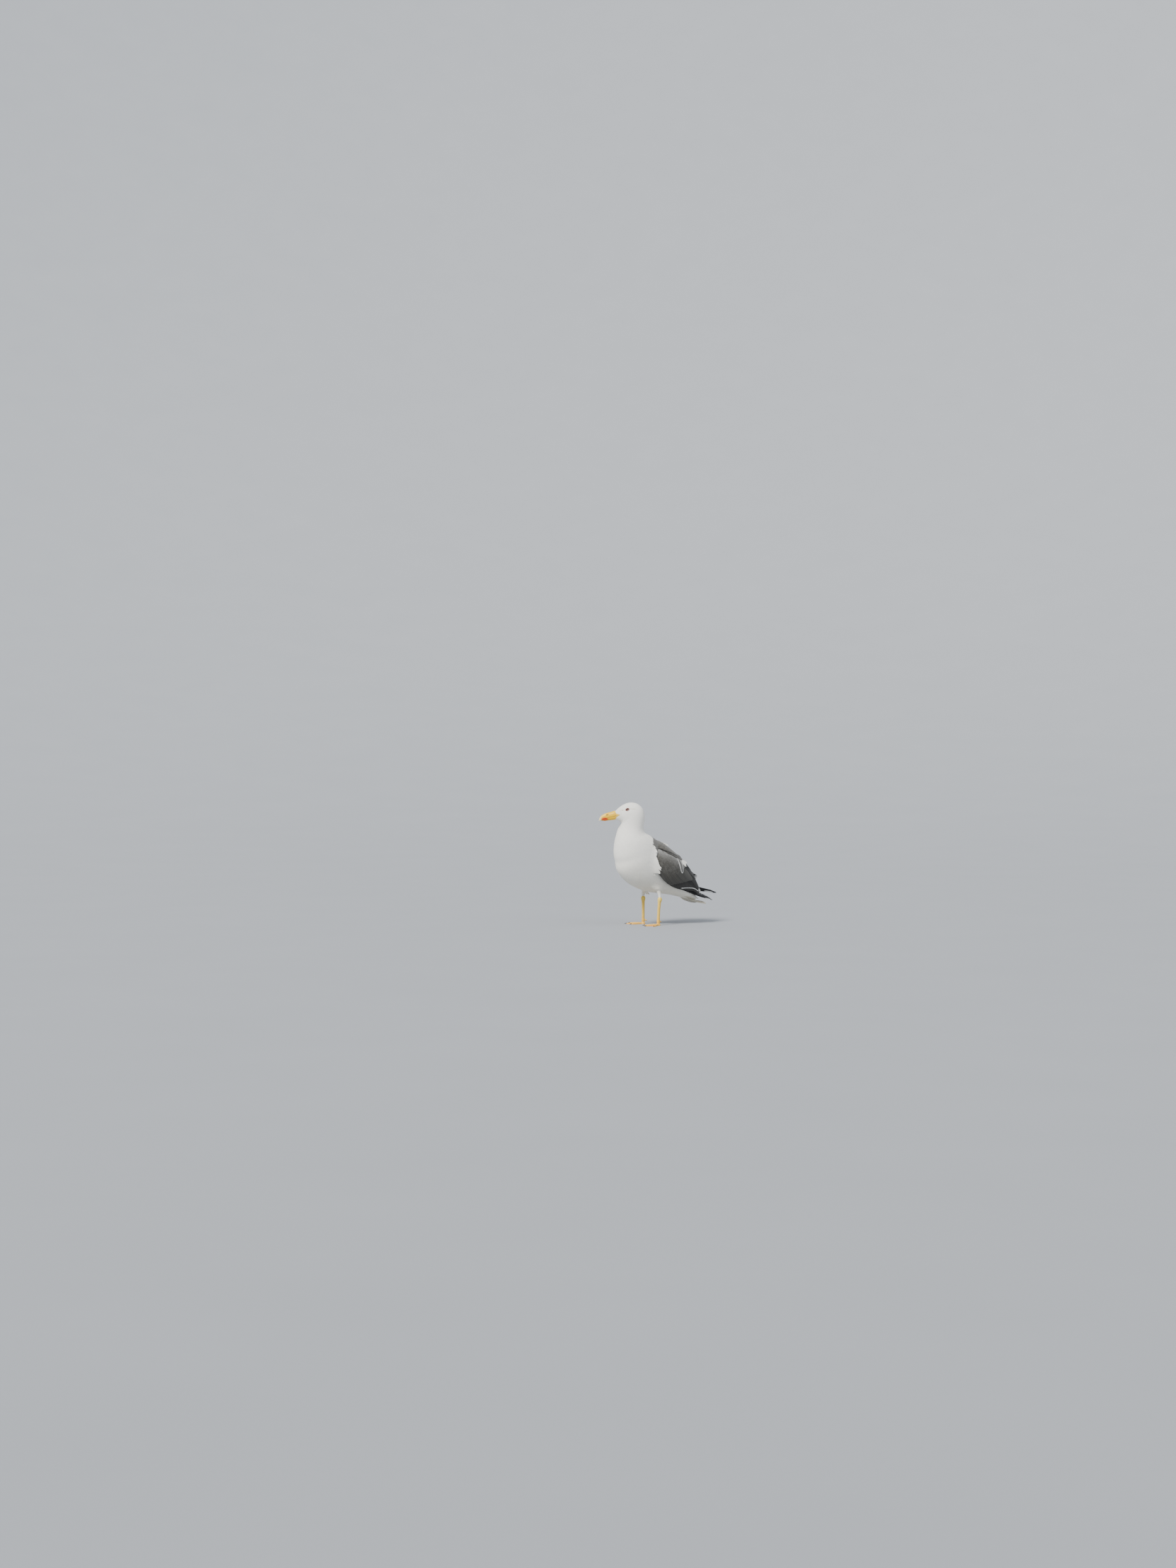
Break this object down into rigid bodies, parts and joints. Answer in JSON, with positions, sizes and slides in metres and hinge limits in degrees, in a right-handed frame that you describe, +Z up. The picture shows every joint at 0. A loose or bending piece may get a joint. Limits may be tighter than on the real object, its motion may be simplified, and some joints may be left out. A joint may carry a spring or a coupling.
{
  "type": "seagull",
  "caption": "Still life-size gull standing on both webbed feet, wings folded, head turned to its right; a museum-style model without joints.",
  "frame": {"origin": "on the floor, under the middle of the bird's bounding box", "axes": "the bird faces -Y, its left side is +X, +Z is up"},
  "size_m": [0.159, 0.3934, 0.363],
  "materials": {
    "white_plumage": "soft white feathers, shaded by their overlapping edges",
    "grey_plumage": "worn slate-grey feathers with pale and brownish edges",
    "black_plumage": "stiff black flight feathers with a slight gloss",
    "bill": "satin yellow horn with an orange-red spot near the tip of the lower half",
    "eye": "wet glossy dark eye",
    "leg_skin": "scaly yellow skin, more orange on the webs",
    "claw": "dark horn"
  },
  "bodies": {
    "root": {"head": "white_plumage", "neck": "white_plumage", "trunk": "white_plumage", "tail": "white_plumage", "bill_upper": "bill", "bill_lower": "bill", "left_eye": "eye", "left_wing_coverts": "grey_plumage", "left_wing_tertials": "grey_plumage", "left_wing_primaries": "black_plumage", "left_thigh": "white_plumage", "left_shank": "leg_skin", "left_foot": "leg_skin", "left_hind_toe": "leg_skin", "left_claw_inner": "claw", "left_claw_middle": "claw", "left_claw_outer": "claw", "right_eye": "eye", "right_wing_coverts": "grey_plumage", "right_wing_tertials": "grey_plumage", "right_wing_primaries": "black_plumage", "right_thigh": "white_plumage", "right_shank": "leg_skin", "right_foot": "leg_skin", "right_hind_toe": "leg_skin", "right_claw_inner": "claw", "right_claw_middle": "claw", "right_claw_outer": "claw"}
  },
  "joints": []
}
